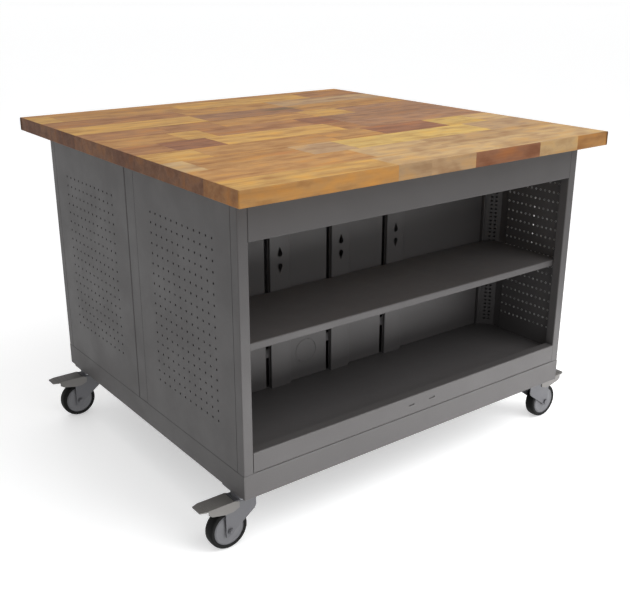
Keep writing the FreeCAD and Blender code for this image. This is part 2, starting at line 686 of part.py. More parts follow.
def caster_hub():
    half = HUB_W / 2
    rim_r = TYRE_IN_R - SEAT
    disc = rod(TRAIL, -half, WHEEL_R, rim_r, HUB_W, V(0, 1, 0))
    for y in (-half, half - HUB_GROOVE):
        groove = rod(TRAIL, y, WHEEL_R, HUB_GROOVE_R, HUB_GROOVE, V(0, 1, 0))
        island = rod(TRAIL, y, WHEEL_R, HUB_GROOVE_R - HUB_GROOVE_W, HUB_GROOVE, V(0, 1, 0))
        disc = disc.cut(groove.cut(island))
    boss_half = LEG_GAP - SEAT
    boss = rod(TRAIL, -boss_half, WHEEL_R, HUB_BOSS_R, 2 * boss_half, V(0, 1, 0))
    hub = merge([disc, boss])
    return hub.cut(rod(TRAIL, -boss_half - PASS, WHEEL_R, AXLE_R + BORE_CLEAR, 2 * (boss_half + PASS), V(0, 1, 0)))


def caster_tyre():
    half = TYRE_W / 2
    ring = rod(TRAIL, -half, WHEEL_R, WHEEL_R, TYRE_W, V(0, 1, 0))
    rims = [e for e in ring.Edges if e.Closed]
    ring = ring.makeFillet(TYRE_ROUND, rims)
    return ring.cut(rod(TRAIL, -half - PASS, WHEEL_R, TYRE_IN_R, TYRE_W + 2 * PASS, V(0, 1, 0)))


def caster_pedal():
    top = PEDAL_TOP_Z
    foot = top - PEDAL_T
    inner = LEG_GAP + LEG_T + SEAT
    outer = inner + PEDAL_EAR_T
    near = [(PEDAL_ROOT_X, outer), (PEDAL_SHOULDER_X, outer), (PEDAL_TIP_X, PEDAL_TIP_HALF)]
    outline = near + [(x, -y) for x, y in reversed(near)]
    pieces = [prism(outline, "xy", foot, top)]
    skirt = list(zip(PEDAL_SKIRT_X, PEDAL_SKIRT_Z))
    for y in (-outer, inner):
        pieces.append(prism(skirt, "xz", y, y + PEDAL_EAR_T))
    pieces.append(rod(PEDAL_PIVOT_X, -outer, PEDAL_PIVOT_Z, PEDAL_PIN_R, 2 * outer, V(0, 1, 0)))
    pieces.append(box(SHOE_X, SHOE_X + SHOE_T, -SHOE_HALF, SHOE_HALF, SHOE_FOOT_Z, foot + SEAT))
    for rib in range(PEDAL_GRIP_RIBS):
        x = PEDAL_SHOULDER_X - rib * PEDAL_GRIP_PITCH
        pieces.append(rod(x, -PEDAL_TIP_HALF, top, PEDAL_GRIP_R, 2 * PEDAL_TIP_HALF, V(0, 1, 0)))
    return merge(pieces)


def caster_spots():
    far_x = BODY_W - CASTER_X
    far_y = BODY_D - CASTER_Y
    return {
        "front_left": (CASTER_X, CASTER_Y, 180),
        "front_right": (far_x, CASTER_Y, 0),
        "rear_left": (CASTER_X, far_y, 180),
        "rear_right": (far_x, far_y, 0),
    }


def placed(piece, spot):
    copy = piece.copy()
    copy.rotate(V(0, 0, 0), V(0, 0, 1), spot[2])
    copy.translate(V(spot[0], spot[1], 0))
    return copy


def caster_bolts():
    solids = []
    under = CASTER_H - PLATE_T - SEAT
    nut_z = CASTER_H + PLINTH_T + SEAT
    for spot in caster_spots().values():
        for dx, dy in bolt_offsets():
            x = spot[0] + dx
            y = spot[1] + dy
            shank = rod(x, y, under, BOLT_R, nut_z + NUT_H + SEAT - under, V(0, 0, 1))
            solids.append(merge([shank, hexagon(x, y, under - BOLT_HEAD_H, under, BOLT_HEAD_R)]))
            nut = hexagon(x, y, nut_z, nut_z + NUT_H, BOLT_HEAD_R)
            solids.append(nut.cut(rod(x, y, nut_z - PASS, BOLT_R + BORE_CLEAR, NUT_H + 2 * PASS, V(0, 0, 1))))
    return Part.makeCompound(solids)


# ---------------------------------------------------------------- assembly
os.makedirs("parts", exist_ok=True)

save("top_slab_front", top_slab(-TOP_FRONT, TOP_SEAM_Y, -TOP_FRONT))
save("top_slab_rear", top_slab(TOP_SEAM_Y + SEAT, BODY_D + TOP_REAR, BODY_D + TOP_REAR))
save("top_screws", top_screws())

plinth_left = plinth_side()
save("plinth_left", plinth_left)
save("plinth_right", other_hand(plinth_left))
plinth_front = plinth_cross()
save("plinth_front", plinth_front)
save("plinth_rear", turned(plinth_front))

strip = centre_strip()
save("centre_strip_left", strip)
save("centre_strip_right", turned(strip))

panel = side_panel()
upright = shelf_upright()
liner = side_liner()
for stem, left in (("side_panel", panel), ("side_liner", liner), ("shelf_upright", upright)):
    right = other_hand(left)
    save(stem + "_front_left", left)
    save(stem + "_front_right", right)
    save(stem + "_rear_left", turned(right))
    save(stem + "_rear_right", turned(left))

cabinet = {
    "header_rail": header_rail(),
    "bottom_rail": bottom_rail(),
    "floor_pan": floor_pan(),
    "back_panel": back_panel(),
    "middle_shelf": middle_shelf(),
    "shelf_clips": shelf_clips(),
}
for stem, piece in cabinet.items():
    save(stem + "_front", piece)
    save(stem + "_rear", turned(other_hand(piece)))

channels = Part.makeCompound([hanger_channel(x) for x in CHANNEL_X])
save("hanger_channels_front", channels)
save("hanger_channels_rear", turned(other_hand(channels)))

caster = {
    "plate": caster_plate(),
    "fork": caster_fork(),
    "axle": caster_axle(),
    "hub": caster_hub(),
    "tyre": caster_tyre(),
    "pedal": caster_pedal(),
}
for place, spot in caster_spots().items():
    for stem, piece in caster.items():
        save("caster_" + place + "_" + stem, placed(piece, spot))
save("caster_bolts", caster_bolts())
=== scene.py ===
import json
import math

import bmesh
import bpy
from mathutils import Matrix, Vector


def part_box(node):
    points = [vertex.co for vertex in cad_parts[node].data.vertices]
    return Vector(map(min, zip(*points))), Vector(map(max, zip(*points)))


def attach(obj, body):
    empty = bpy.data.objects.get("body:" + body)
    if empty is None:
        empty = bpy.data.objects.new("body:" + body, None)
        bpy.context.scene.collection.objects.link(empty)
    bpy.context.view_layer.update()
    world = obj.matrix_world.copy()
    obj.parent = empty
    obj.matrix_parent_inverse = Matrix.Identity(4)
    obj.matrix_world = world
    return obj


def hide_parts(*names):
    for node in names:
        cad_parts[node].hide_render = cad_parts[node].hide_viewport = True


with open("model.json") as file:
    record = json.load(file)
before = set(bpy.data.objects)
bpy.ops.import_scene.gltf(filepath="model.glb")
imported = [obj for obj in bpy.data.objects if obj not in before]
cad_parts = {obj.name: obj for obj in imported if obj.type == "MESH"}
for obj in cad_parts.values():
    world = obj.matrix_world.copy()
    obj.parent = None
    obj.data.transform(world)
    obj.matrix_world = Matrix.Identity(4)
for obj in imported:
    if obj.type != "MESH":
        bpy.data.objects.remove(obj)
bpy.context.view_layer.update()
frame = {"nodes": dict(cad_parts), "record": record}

MM = 0.001
CORNERS = ("front_left", "front_right", "rear_left", "rear_right")


# ---- node and colour helpers

def linear(code):
    """An sRGB hex colour as linear red, green and blue."""
    parts = [int(code[i:i + 2], 16) / 255 for i in (1, 3, 5)]
    return tuple(c / 12.92 if c <= 0.04045 else ((c + 0.055) / 1.055) ** 2.4 for c in parts)


def rgba(code, gain=1.0):
    return tuple(c * gain for c in linear(code)) + (1.0,)


def add(tree, kind, settings=None, links=None):
    """Adds one node. A setting is a property of the node, or else the value of the named input."""
    made = tree.nodes.new(kind)
    for name, value in (settings or {}).items():
        if isinstance(name, str) and hasattr(made, name):
            setattr(made, name, value)
        else:
            made.inputs[name].default_value = value
    for name, socket in (links or {}).items():
        tree.links.new(socket, made.inputs[name])
    return made


def new_material(name):
    """An empty node material, its shader and its place on the object in metres."""
    material = bpy.data.materials.new(name)
    material.use_nodes = True
    tree = material.node_tree
    tree.nodes.clear()
    shader = add(tree, "ShaderNodeBsdfPrincipled")
    add(tree, "ShaderNodeOutputMaterial", links={"Surface": shader.outputs["BSDF"]})
    place = add(tree, "ShaderNodeTexCoord").outputs["Object"]
    return material, tree, shader, place


def noise(tree, place, size, detail=3.0, roughness=0.5):
    """Soft noise whose patches are size long along x, y and z, in metres."""
    grain = add(tree, "ShaderNodeVectorMath", {"operation": "DIVIDE", 1: size}, {0: place})
    return add(tree, "ShaderNodeTexNoise", {"Scale": 1.0, "Detail": detail, "Roughness": roughness},
               {"Vector": grain.outputs[0]}).outputs["Fac"]


def spread(tree, value, low, high, to_low, to_high):
    """The part of value from low to high, stretched to run from to_low to to_high."""
    settings = {"From Min": low, "From Max": high, "To Min": to_low, "To Max": to_high}
    return add(tree, "ShaderNodeMapRange", settings, {"Value": value}).outputs["Result"]


def blend_colours(tree, factor, a, b, way="MIX"):
    """Mixes colour a with b. Each is a socket or a colour, and so is factor."""
    settings = {"data_type": "RGBA", "blend_type": way}
    links = {}
    for slot, value in ((0, factor), (6, a), (7, b)):
        (links if isinstance(value, bpy.types.NodeSocket) else settings)[slot] = value
    return add(tree, "ShaderNodeMix", settings, links).outputs[2]


def stained(tree, colour, value, limits, strength, code, way="MULTIPLY"):
    """Colour under a stain of the given hex code, coming in as value runs from one limit to the other."""
    factor = spread(tree, value, limits[0], limits[1], 0.0, strength)
    return blend_colours(tree, factor, colour, rgba(code), way)


def lay_bump(tree, shader, height, depth):
    bump = add(tree, "ShaderNodeBump", {"Distance": depth}, {"Height": height})
    tree.links.new(bump.outputs["Normal"], shader.inputs["Normal"])


# ---- materials

def oiled_butcher_block():
    """Hardwood staves, planed, sanded and oiled: warm tones that change from stave to stave,
    long soft grain, short dark pores and a low satin sheen."""
    material, tree, shader, place = new_material("oiled_butcher_block")
    tone = add(tree, "ShaderNodeAttribute", {"attribute_name": "stave_tone"}).outputs["Color"]
    shift = add(tree, "ShaderNodeAttribute", {"attribute_name": "stave_shift"}).outputs["Vector"]
    own = add(tree, "ShaderNodeVectorMath", {"operation": "ADD"}, {0: place, 1: shift}).outputs[0]

    # Heartwood and sapwood run the length of a stave in bands about 30 mm wide.
    bands = noise(tree, own, (0.42, 0.030, 0.030), 2.0)
    colour = stained(tree, tone, bands, (0.45, 0.72), 0.36, "#b58a64")
    # Cloudy patches about 70 mm long, where the grain rises to the face.
    clouds = noise(tree, own, (0.075, 0.034, 0.034), 4.0)
    colour = stained(tree, colour, clouds, (0.48, 0.72), 0.50, "#f0cf86", "SOFT_LIGHT")
    colour = stained(tree, colour, clouds, (0.50, 0.28), 0.46, "#b98c66")
    # Growth lines about 5 mm apart, drawn out along the stave.
    lines = noise(tree, own, (0.16, 0.0052, 0.0052), 4.0, 0.6)
    colour = stained(tree, colour, lines, (0.46, 0.72), 0.13, "#a27c58")
    # Open pores, really 0.2 mm wide, are drawn 1 mm wide so that they show.
    pores = noise(tree, own, (0.022, 0.0010, 0.0010), 2.0)
    colour = stained(tree, colour, pores, (0.60, 0.76), 0.18, "#7d5b3c")
    for x, y, long, wide, darkness, shade in KNOTS:
        colour = knot(tree, place, colour, (x, y), (long, wide), darkness, shade)
    tree.links.new(colour, shader.inputs["Base Color"])
    tree.links.new(spread(tree, lines, 0.3, 0.7, 0.46, 0.60), shader.inputs["Roughness"])
    shader.inputs["IOR"].default_value = 1.48
    shader.inputs["Specular IOR Level"].default_value = 0.08
    height = add(tree, "ShaderNodeMath", {"operation": "MULTIPLY_ADD", 1: -0.6}, {0: pores, 2: lines})
    lay_bump(tree, shader, height.outputs[0], 0.15 * MM)
    return material


# Knots and dark streaks on the top, the last along the seam between its halves. Each has its place
# from the top's middle and half its length and width, all in metres, its darkness and its tint.
KNOTS = (
    (0.130, 0.289, 0.075, 0.024, 0.80, "#4b4a36"),
    (-0.300, -0.338, 0.050, 0.020, 0.35, "#a8603c"),
    (0.060, 0.180, 0.190, 0.007, 0.55, "#7d4a3a"),
    (-0.155, 0.452, 0.030, 0.012, 0.30, "#8d5f3d"),
    (-0.200, 0.2045, 0.420, 0.0034, 0.75, "#4f3020"),
)


def knot(tree, place, colour, centre, reach, darkness, shade):
    """A dark oval with a ragged rim, laid over colour."""
    settings = {"operation": "SUBTRACT", 1: (centre[0], centre[1], 0.0)}
    away = add(tree, "ShaderNodeVectorMath", settings, {0: place}).outputs[0]
    settings = {"operation": "DIVIDE", 1: (reach[0], reach[1], 1.0e3)}
    oval = add(tree, "ShaderNodeVectorMath", settings, {0: away}).outputs[0]
    far = add(tree, "ShaderNodeVectorMath", {"operation": "LENGTH"}, {0: oval}).outputs["Value"]
    ragged = noise(tree, place, (0.025, 0.006, 0.006), 3.0)
    settings = {"operation": "MULTIPLY_ADD", 1: 1.1}
    rim = add(tree, "ShaderNodeMath", settings, {0: ragged, 2: far}).outputs[0]
    return stained(tree, colour, rim, (1.75, 0.55), darkness, shade, "MIX")


def fine_texture_powder_coat(name, code, sheen_low, sheen_high):
    """Polyester powder coat, sprayed and baked on steel: an even grey with a fine leathery texture,
    faint clouding where the coat is thicker and a satin sheen that breaks up on the texture."""
    material, tree, shader, place = new_material(name)
    clouds = noise(tree, place, (0.28, 0.28, 0.28), 3.0)
    colour = stained(tree, rgba(code), clouds, (0.35, 0.65), 0.08, "#ffffff", "OVERLAY")
    # The texture is really 0.4 mm; it is drawn 1.4 mm wide so that it shows.
    speckle = noise(tree, place, (0.0014, 0.0014, 0.0014), 2.0)
    colour = stained(tree, colour, speckle, (0.40, 0.75), 0.10, "#5a5857", "SCREEN")
    tree.links.new(colour, shader.inputs["Base Color"])
    rubbed = noise(tree, place, (0.11, 0.11, 0.11), 4.0, 0.6)
    tree.links.new(spread(tree, rubbed, 0.35, 0.65, sheen_low, sheen_high), shader.inputs["Roughness"])
    shader.inputs["IOR"].default_value = 1.5
    shader.inputs["Specular IOR Level"].default_value = 0.3
    lay_bump(tree, shader, speckle, 0.05 * MM)
    return material


def clear_zinc_plated_steel():
    """Steel dipped in clear zinc plating: a bluish silver with dull handling marks."""
    material, tree, shader, place = new_material("clear_zinc_plated_steel")
    patches = noise(tree, place, (0.012, 0.012, 0.012), 4.0)
    colour = blend_colours(tree, patches, rgba("#9b9ea2"), rgba("#c3c5c6"))
    tree.links.new(colour, shader.inputs["Base Color"])
    shader.inputs["Metallic"].default_value = 1.0
    tree.links.new(spread(tree, patches, 0.3, 0.7, 0.26, 0.46), shader.inputs["Roughness"])
    lay_bump(tree, shader, noise(tree, place, (0.004, 0.0006, 0.0006), 2.0), 0.02 * MM)
    return material


def painted_highlight_hole_rim():
    """A raised rim round a punched hole, coloured pale as a painted highlight, so that each hole shows as a
    light dot.
    """
    material, tree, shader, place = new_material("painted_highlight_hole_rim")
    highlight_patches = noise(tree, place, (0.02, 0.02, 0.02), 3.0)
    colour = blend_colours(tree, highlight_patches, rgba("#8d8d8d"), rgba("#e4e4e2"))
    tree.links.new(colour, shader.inputs["Base Color"])
    tree.links.new(spread(tree, highlight_patches, 0.3, 0.7, 0.40, 0.60), shader.inputs["Roughness"])
    shader.inputs["IOR"].default_value = 1.5
    return material


def moulded_grey_nylon():
    """Glass-filled nylon, injection moulded: a matte grey with a faint flow pattern."""
    material, tree, shader, place = new_material("moulded_grey_nylon")
    flow = noise(tree, place, (0.02, 0.02, 0.006), 3.0)
    colour = blend_colours(tree, flow, rgba("#47474a"), rgba("#515154"))
    tree.links.new(colour, shader.inputs["Base Color"])
    tree.links.new(spread(tree, flow, 0.3, 0.7, 0.46, 0.60), shader.inputs["Roughness"])
    shader.inputs["IOR"].default_value = 1.53
    lay_bump(tree, shader, noise(tree, place, (0.0008, 0.0008, 0.0008), 1.0), 0.03 * MM)
    return material


def moulded_black_rubber():
    """Solid rubber tyre, pressed in a mould: nearly black, dull, with grey floor dust in the pores."""
    material, tree, shader, place = new_material("moulded_black_rubber")
    dust = noise(tree, place, (0.010, 0.010, 0.010), 5.0, 0.65)
    colour = stained(tree, rgba("#050505"), dust, (0.45, 0.75), 0.6, "#151514", "MIX")
    tree.links.new(colour, shader.inputs["Base Color"])
    tree.links.new(spread(tree, dust, 0.3, 0.7, 0.52, 0.74), shader.inputs["Roughness"])
    shader.inputs["IOR"].default_value = 1.52
    shader.inputs["Specular IOR Level"].default_value = 0.12
    lay_bump(tree, shader, noise(tree, place, (0.0012, 0.0012, 0.0012), 2.0), 0.06 * MM)
    return material


def opal_sheet_floor():
    """A studio table of opal sheet, lit faintly from below: plain, pale and matt, with soft shadows."""
    material, tree, shader, place = new_material("opal_sheet_floor")
    tint = noise(tree, place, (0.6, 0.6, 0.6), 2.0)
    colour = blend_colours(tree, tint, rgba("#eeeff0"), rgba("#f3f3f3"))
    tree.links.new(colour, shader.inputs["Base Color"])
    shader.inputs["Roughness"].default_value = 0.42
    shader.inputs["Specular IOR Level"].default_value = 0.25
    shader.inputs["Emission Color"].default_value = (1.0, 1.0, 1.0, 1.0)
    shader.inputs["Emission Strength"].default_value = 0.376
    return material


# ---- butcher-block top

# Wood tones of the staves, from the palest to the darkest. Umber and bole are end grain.
TONES = {"straw": "#cbaa66", "honey": "#c99f5e", "sand": "#c1a276", "tan": "#b39470",
         "amber": "#b98c57", "russet": "#a97c54", "cocoa": "#a17b5e", "chestnut": "#96694e",
         "umber": "#85624c", "bole": "#785644"}
# Rows of staves from the front edge of the top: where the row starts, then each stave's end and tone.
# Distances are millimetres from the top's front left corner.
STAVE_ROWS = (
    (0, ((435, "honey"), (790, "sand"), (1219, "sand"))),
    (98, ((460, "amber"), (700, "sand"), (1219, "sand"))),
    (219, ((62, "sand"), (360, "amber"), (500, "tan"), (985, "straw"), (1219, "tan"))),
    (340, ((150, "honey"), (540, "amber"), (700, "amber"), (940, "chestnut"), (1100, "straw"),
           (1219, "sand"))),
    (461, ((120, "russet"), (265, "chestnut"), (662, "honey"), (740, "russet"), (1219, "cocoa"))),
    (582, ((215, "amber"), (310, "honey"), (640, "russet"), (740, "chestnut"), (1219, "cocoa"))),
    (703, ((240, "russet"), (410, "russet"), (740, "amber"), (890, "honey"), (1219, "cocoa"))),
    (821, ((425, "honey"), (780, "cocoa"), (1219, "amber"))),
    (945, ((430, "russet"), (780, "amber"), (1219, "tan"))),
    (1066, ((75, "honey"), (480, "amber"), (985, "honey"), (1219, "russet"))),
    (1187, ((1219, "amber"),)),
)
# The top's width and depth, and how far back the seam between its halves lies, in millimetres.
TOP_WIDE = 1219
TOP_DEEP = 1233
SEAM = 821
# The same top seen on its front edge and on its left end: where each stave ends, and its tone.
FRONT_EDGE = ((435, "amber"), (540, "tan"), (690, "tan"), (930, "chestnut"), (1085, "sand"),
              (1219, "amber"))
LEFT_END = ((140, "russet"), (219, "umber"), (340, "umber"), (461, "umber"), (582, "bole"), (703, "umber"),
            (821, "umber"), (945, "bole"), (1066, "umber"), (1187, "bole"), (1233, "umber"))
# How deep the edge staves go, and how far the rim, a joint, the seam and a corner are eased, in millimetres.
EDGE_SKIN = 3.0
RIM_EASE = 1.5
JOINT_EASE = 0.15
SEAM_EASE = 1.1
CORNER_ROUND = 3.0
ARC_STEPS = 4
# The tones are how the staves look in the studio's light. These gains turn them into the wood's own colour.
TOP_GAIN = 0.81
FRONT_GAIN = 0.60
END_GAIN = 0.60
# Two staves of one tone still differ a little: the lowest share of a tone, the range above it, and how far
# round that range each stave is from the one before.
TONE_LOW = 0.95
TONE_RANGE = 0.10
TONE_STEP = 0.618
# How far each stave's grain is shifted from the one before, in metres along x, y and z.
GRAIN_SHIFT = (1.7, 0.83, 0.37)


def stave_list():
    """Every stave as left, right, front and rear, in mm from the front left corner, its tone and its gain."""
    staves = []
    starts = [start for start, row in STAVE_ROWS] + [TOP_DEEP]
    for (start, row), stop in zip(STAVE_ROWS, starts[1:]):
        left = EDGE_SKIN
        for end, tone in row:
            staves.append((left, end, max(start, EDGE_SKIN), stop, tone, TOP_GAIN))
            left = end
    left = 0
    for end, tone in FRONT_EDGE:
        staves.append((left, end, 0, EDGE_SKIN, tone, FRONT_GAIN))
        left = end
    front = EDGE_SKIN
    for end, tone in LEFT_END:
        staves.append((0, EDGE_SKIN, front, end, tone, END_GAIN))
        front = end
    return staves


def corner_ring(x, y, inward_x, inward_y, radius):
    """The corner of a stave's outline: one point, or a short arc where the top's own corner is rounded."""
    if radius <= 0:
        return [(x, y)]
    points = []
    for step in range(ARC_STEPS + 1):
        turn = math.pi / 2 * step / ARC_STEPS
        across = inward_x * radius * (1 - math.cos(turn))
        along = inward_y * radius * (1 - math.sin(turn))
        points.append((x + across, y + along))
    return points


def stave_outline(stave, inset):
    """The stave's outline in plan, pulled in by the rim's ease on the outside and a hair at each joint."""
    left, right, front, rear = stave[:4]
    outside = (left == 0, right == TOP_WIDE, front == 0, rear == TOP_DEEP)
    ease = [RIM_EASE if at_rim else JOINT_EASE for at_rim in outside]
    ease[2] = SEAM_EASE if front == SEAM else ease[2]
    ease[3] = SEAM_EASE if rear == SEAM else ease[3]
    x0, x1 = left + inset * ease[0], right - inset * ease[1]
    y0, y1 = front + inset * ease[2], rear - inset * ease[3]
    corners = ((x0, y0, 1, 1), (x1, y0, -1, 1), (x1, y1, -1, -1), (x0, y1, 1, -1))
    outline = []
    for x, y, inward_x, inward_y in corners:
        at_side = outside[0] if inward_x > 0 else outside[1]
        at_end = outside[2] if inward_y > 0 else outside[3]
        radius = CORNER_ROUND - inset * RIM_EASE if at_side and at_end else 0
        # At the front right and rear left corners the arc runs backwards, so the outline crosses itself.
        outline += corner_ring(x, y, inward_x, inward_y, radius)
    return outline


def butcher_block_half(name, front, rear):
    """The staves that lie between two depths, as one piece with a tone and a grain offset on each stave."""
    low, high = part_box("top_slab_front")
    x_left, y_front = low.x, low.y
    mesh_maker = bmesh.new()
    tone_layer = mesh_maker.verts.layers.float_color.new("stave_tone")
    shift_layer = mesh_maker.verts.layers.float_vector.new("stave_shift")
    ease = RIM_EASE * MM
    for number, stave in enumerate(stave_list()):
        if not front <= stave[2] < rear:
            continue
        share = TONE_LOW + TONE_RANGE * (TONE_STEP * number % 1.0)
        tone = rgba(TONES[stave[4]], stave[5] * share)
        shift = Vector([step * number for step in GRAIN_SHIFT])
        rings = []
        for z, inset in ((low.z, 1), (low.z + ease, 0), (high.z - ease, 0), (high.z, 1)):
            ring = []
            for x, y in stave_outline(stave, inset):
                vert = mesh_maker.verts.new((x_left + x * MM, y_front + y * MM, z))
                vert[tone_layer] = tone
                vert[shift_layer] = shift
                ring.append(vert)
            rings.append(ring)
        for lower, upper in zip(rings, rings[1:]):
            for i in range(len(lower)):
                j = (i + 1) % len(lower)
                mesh_maker.faces.new((lower[i], lower[j], upper[j], upper[i]))
        mesh_maker.faces.new(rings[0][::-1])
        mesh_maker.faces.new(rings[-1])
    return finished_mesh(name, mesh_maker)


def finished_mesh(name, mesh_maker):
    bmesh.ops.recalc_face_normals(mesh_maker, faces=mesh_maker.faces)
    mesh = bpy.data.meshes.new(name)
    mesh_maker.to_mesh(mesh)
    mesh_maker.free()
    piece = bpy.data.objects.new(name, mesh)
    bpy.context.scene.collection.objects.link(piece)
    return piece


def finish_piece(piece, body, slot, material, *nodes):
    """Gives a piece its material and the body that it moves with, and hides the CAD nodes that it stands for.
    """
    piece.data.materials.clear()
    piece.data.materials.append(material)
    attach(piece, body)
    if nodes:
        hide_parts(*nodes)


# ---- casters

def turned_shape(name, outline, centre, steps):
    """A shape turned about the wheel's axle. The outline is radius and distance along Y, in mm, closed."""
    mesh_maker = bmesh.new()
    rings = []
    for step in range(steps):
        turn = 2 * math.pi * step / steps
        ring = []
        for radius, along in outline:
            point = centre + Vector((radius * math.cos(turn), along, radius * math.sin(turn))) * MM
            ring.append(mesh_maker.verts.new(point))
        rings.append(ring)
    for step in range(steps):
        ring, following = rings[step], rings[(step + 1) % steps]
        for i in range(len(outline)):
            j = (i + 1) % len(outline)
            mesh_maker.faces.new((ring[i], ring[j], following[j], following[i]))
    piece = finished_mesh(name, mesh_maker)
    for face in piece.data.polygons:
        face.use_smooth = True
    piece.data.set_sharp_from_angle(angle=math.radians(35))
    return piece


def mirrored_outline(half):
    """A closed outline from its right-hand half, given from the inside of the ring outwards."""
    return list(half) + [(radius, -along) for radius, along in reversed(half)]


# Half outlines from the bore outwards: radius from the axle, distance from the wheel's middle.
TYRE_HALF = ((42.0, 13.8), (42.6, 14.6), (44.2, 15.2), (46.4, 15.2), (46.9, 15.5), (48.6, 15.5), (49.1, 15.1),
             (50.6, 14.4), (52.0, 12.9), (52.8, 10.8), (53.2, 8.0), (53.45, 4.0), (53.5, 0.6))
HUB_HALF = ((5.05, 18.2), (11.2, 18.2), (12.0, 17.4), (12.4, 14.9), (13.2, 14.3), (30.0, 13.6), (33.6, 13.6),
            (34.2, 14.1), (38.0, 14.4), (38.4, 13.4), (39.6, 13.4), (40.0, 14.3), (41.0, 14.3), (41.6, 13.6))


def wheel_centre(corner):
    low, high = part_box(f"caster_{corner}_tyre")
    return (low + high) / 2


def softened(node, name, width):
    """A copy of a pressed CAD piece with its sharp edges rounded, as a press tool leaves them."""
    piece = bpy.data.objects.new(name, frame["nodes"][node].data.copy())
    bpy.context.scene.collection.objects.link(piece)
    mesh_maker = bmesh.new()
    mesh_maker.from_mesh(piece.data)
    bmesh.ops.remove_doubles(mesh_maker, verts=mesh_maker.verts, dist=0.002 * MM)
    edges, verts = mesh_maker.edges, mesh_maker.verts
    bmesh.ops.dissolve_limit(mesh_maker, angle_limit=math.radians(1), edges=edges, verts=verts)
    mesh_maker.to_mesh(piece.data)
    mesh_maker.free()
    if "custom_normal" in piece.data.attributes:
        piece.data.attributes.remove(piece.data.attributes["custom_normal"])
    for face in piece.data.polygons:
        face.use_smooth = True
    piece.data.set_sharp_from_angle(angle=math.radians(50))
    rounding = piece.modifiers.new("rounding", "BEVEL")
    rounding.width = width * MM
    rounding.segments = 2
    rounding.limit_method = "ANGLE"
    rounding.angle_limit = math.radians(40)
    rounding.harden_normals = True
    return piece


# ---- perforated sides

def bead_field_tree():
    """A field of thin rings, one round each punched hole, on a plane that faces along X."""
    tree = bpy.data.node_groups.new("bead_field", "GeometryNodeTree")
    inputs = (("Columns", "Int"), ("Rows", "Int"), ("Column Pitch", "Float"), ("Row Pitch", "Float"),
              ("Hole Radius", "Float"), ("Bead Radius", "Float"), ("Centre", "Vector"), ("Coat", "Material"))
    for label, kind in inputs:
        tree.interface.new_socket(name=label, in_out="INPUT", socket_type="NodeSocket" + kind)
    tree.interface.new_socket(name="Geometry", in_out="OUTPUT", socket_type="NodeSocketGeometry")
    given = add(tree, "NodeGroupInput").outputs

    def span(count, pitch):
        gaps = add(tree, "ShaderNodeMath", {"operation": "SUBTRACT", 1: 1.0}, {0: given[count]})
        links = {0: gaps.outputs[0], 1: given[pitch]}
        return add(tree, "ShaderNodeMath", {"operation": "MULTIPLY"}, links).outputs[0]

    links = {"Size X": span("Rows", "Row Pitch"), "Size Y": span("Columns", "Column Pitch"),
             "Vertices X": given["Rows"], "Vertices Y": given["Columns"]}
    points = add(tree, "GeometryNodeMeshGrid", links=links).outputs["Mesh"]
    circle = "GeometryNodeCurvePrimitiveCircle"
    hole = add(tree, circle, {"Resolution": 12}, {"Radius": given["Hole Radius"]})
    bead = add(tree, circle, {"Resolution": 3}, {"Radius": given["Bead Radius"]})
    ring = add(tree, "GeometryNodeCurveToMesh",
               links={"Curve": hole.outputs["Curve"], "Profile Curve": bead.outputs["Curve"]})
    links = {"Points": points, "Instance": ring.outputs["Mesh"]}
    beads = add(tree, "GeometryNodeInstanceOnPoints", links=links)
    stood = add(tree, "GeometryNodeTransform", {"Rotation": (0.0, math.pi / 2, 0.0)},
                {"Geometry": beads.outputs["Instances"], "Translation": given["Centre"]})
    real = add(tree, "GeometryNodeRealizeInstances", links={"Geometry": stood.outputs["Geometry"]})
    coated = add(tree, "GeometryNodeSetMaterial",
                 links={"Geometry": real.outputs["Geometry"], "Material": given["Coat"]})
    add(tree, "NodeGroupOutput", links={"Geometry": coated.outputs["Geometry"]})
    return tree


def plain_mesh_from(tree, name, values):
    """Runs a node tree with the given named inputs and keeps the result as a plain mesh."""
    holder = bpy.data.objects.new(name, bpy.data.meshes.new(name))
    bpy.context.scene.collection.objects.link(holder)
    modifier = holder.modifiers.new(name, "NODES")
    modifier.node_group = tree
    for item in tree.interface.items_tree:
        if item.in_out == "INPUT" and item.name in values:
            modifier[item.identifier] = values[item.name]
    bpy.context.view_layer.update()
    graph = bpy.context.evaluated_depsgraph_get()
    mesh = bpy.data.meshes.new_from_object(holder.evaluated_get(graph))
    holder.modifiers.clear()
    holder.data = mesh
    return holder


HOLE_COLUMNS = 12
HOLE_ROWS = 18
# The holes of the outer side, in millimetres: pitch, and the first hole from the edge at the bench's end
# and from the foot.
PANEL_PITCH = 26.9
PANEL_FIRST = (107.0, 104.0)
# The holes of the liner inside the compartment: pitch along the depth and the height, and its first hole.
LINER_PITCH = (16.5, 28.0)
LINER_FIRST = (18.0, 60.7)


def rim_beads(tree, name, plate, face, first, pitch, radii, slot, finish):
    """A bead round every punched hole of a plate that stands across X. Lengths are in millimetres."""
    low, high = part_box(plate)
    inward = (first[0] + (HOLE_COLUMNS - 1) * pitch[0] / 2) * MM
    middle_y = low.y + inward if "front" in plate else high.y - inward
    middle_z = low.z + (first[1] + (HOLE_ROWS - 1) * pitch[1] / 2) * MM
    values = {"Columns": HOLE_COLUMNS, "Rows": HOLE_ROWS, "Column Pitch": pitch[0] * MM,
              "Row Pitch": pitch[1] * MM, "Hole Radius": radii[0] * MM, "Bead Radius": radii[1] * MM,
              "Centre": (face, middle_y, middle_z), "Coat": finish}
    finish_piece(plain_mesh_from(tree, name, values), "bench", slot, finish)


# ---- everything in its place

